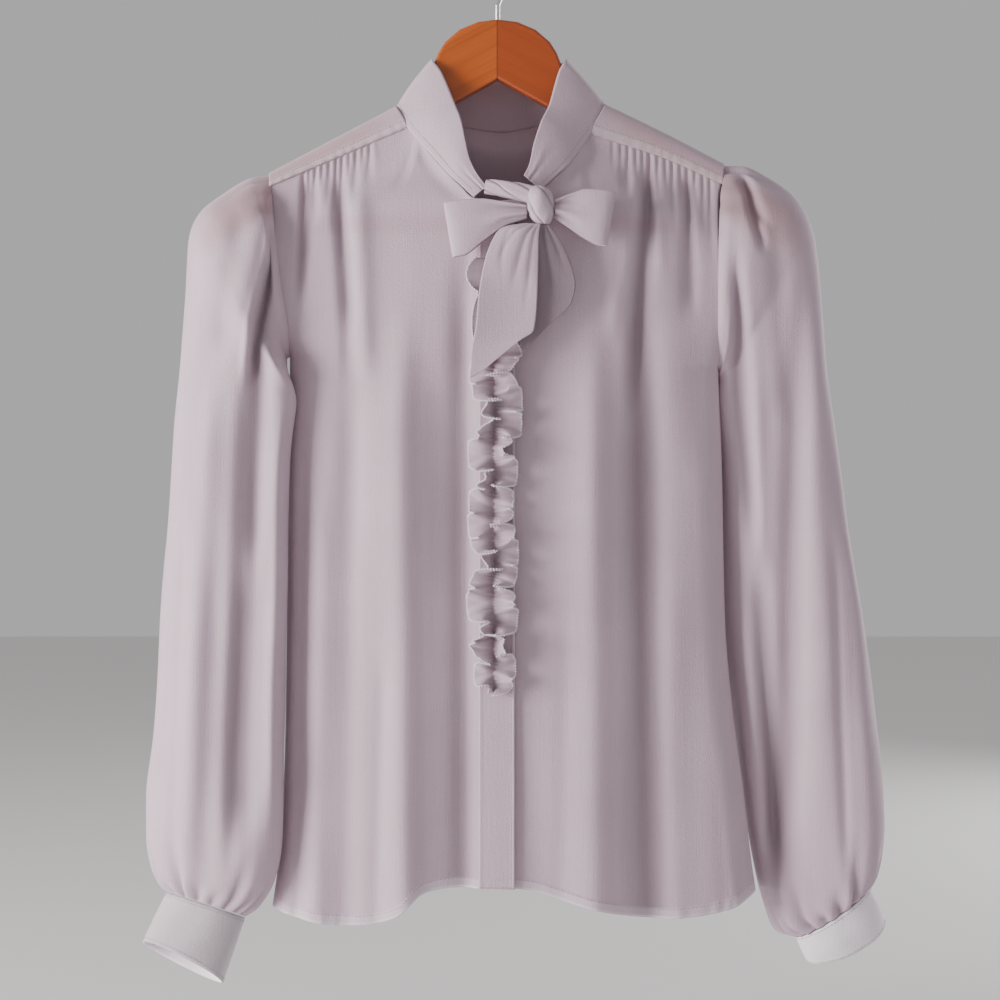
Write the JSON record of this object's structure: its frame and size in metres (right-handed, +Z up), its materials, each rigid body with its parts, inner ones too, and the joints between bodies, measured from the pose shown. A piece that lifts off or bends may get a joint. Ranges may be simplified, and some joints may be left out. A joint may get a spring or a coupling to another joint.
{
  "type": "tie neck blouse on a wooden hanger",
  "caption": "Long-sleeved tie neck blouse with a ruffled covered placket, gathered yokes and banded cuffs, hanging on a plain wooden hanger with a wire hook.",
  "frame": {"origin": "inside top of the hanger's hook, where a rail carries it", "axes": "+Z up, +X to the viewer's right, the blouse's front faces -Y"},
  "size_m": [0.5439, 0.0979, 0.7693],
  "materials": {
    "crepe": "matt crepe",
    "cuff_crepe": "matt crepe, paler",
    "wood": "satin varnish",
    "steel": "polished wire"
  },
  "bodies": {
    "root": {"front_right": "crepe", "front_left": "crepe", "placket": "crepe", "back": "crepe", "yoke_right": "crepe", "yoke_left": "crepe", "sleeve_right": "crepe", "sleeve_left": "crepe", "collar": "crepe", "bow_twist": "crepe", "bow_knot": "crepe", "bow_loop_right": "crepe", "bow_loop_left": "crepe", "tie_end_front": "crepe", "tie_end_back": "crepe", "ruffle": "crepe", "cuff_right": "cuff_crepe", "cuff_left": "cuff_crepe", "hanger_wood": "wood", "hanger_bar": "wood", "hanger_hook": "steel"}
  },
  "joints": []
}
